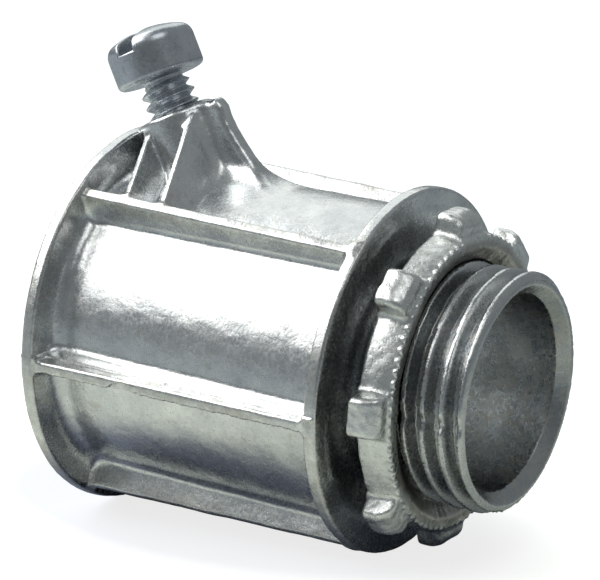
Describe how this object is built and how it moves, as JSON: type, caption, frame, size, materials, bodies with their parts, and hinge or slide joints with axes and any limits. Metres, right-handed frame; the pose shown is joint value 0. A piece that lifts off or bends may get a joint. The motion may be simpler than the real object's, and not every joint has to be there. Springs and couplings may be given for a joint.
{
  "type": "set screw conduit connector",
  "caption": "Zinc die-cast connector that clamps flexible conduit with a slanted set screw and fastens in a box knockout with a lugged locknut.",
  "frame": {"origin": "centre of the shoulder's seating face, on the axis of the bore and nipple", "axes": "+X out along the threaded nipple into the box, +Z towards the side with the set screw, +Y across"},
  "size_m": [0.0436, 0.035, 0.0451],
  "materials": {
    "cast_zinc_body": "bright die-cast zinc, as cast, shiny with soft mottling",
    "cast_zinc_nut": "die-cast zinc, as cast, a little duller and rougher than the body",
    "plated_steel_screw": "zinc-plated steel, smooth and bluish"
  },
  "bodies": {
    "connector": {"connector_body": "cast_zinc_body"},
    "screw_carrier": {"set_screw_point": "plated_steel_screw"},
    "screw": {"set_screw": "plated_steel_screw"},
    "nut_carrier": {"locknut_seat_ring": "cast_zinc_nut"},
    "nut": {"locknut": "cast_zinc_nut"}
  },
  "joints": [
    {"name": "screw_travel", "type": "slide", "parent": "connector", "child": "screw_carrier", "axis": [-0.4695, 0, 0.8829], "range_m": [-0.003, 0.004]},
    {"name": "screw_turn", "type": "hinge", "parent": "screw_carrier", "child": "screw", "pos_m": [-0.02595, 0, 0.01902], "axis": [-0.4695, 0, 0.8829], "range_deg": [-1021, 1361]},
    {"name": "locknut_travel", "type": "slide", "parent": "connector", "child": "nut_carrier", "axis": [1, 0, 0], "range_m": [-0.0019, 0.0055]},
    {"name": "locknut_turn", "type": "hinge", "parent": "nut_carrier", "child": "nut", "pos_m": [0, 0, 0], "axis": [1, 0, 0], "range_deg": [-377.5, 1092]}
  ],
  "couplings": [
    {"joint": "screw_turn", "follows": "screw_travel", "rad_per_m": 5936.9},
    {"joint": "locknut_turn", "follows": "locknut_travel", "rad_per_m": 3463.2}
  ]
}
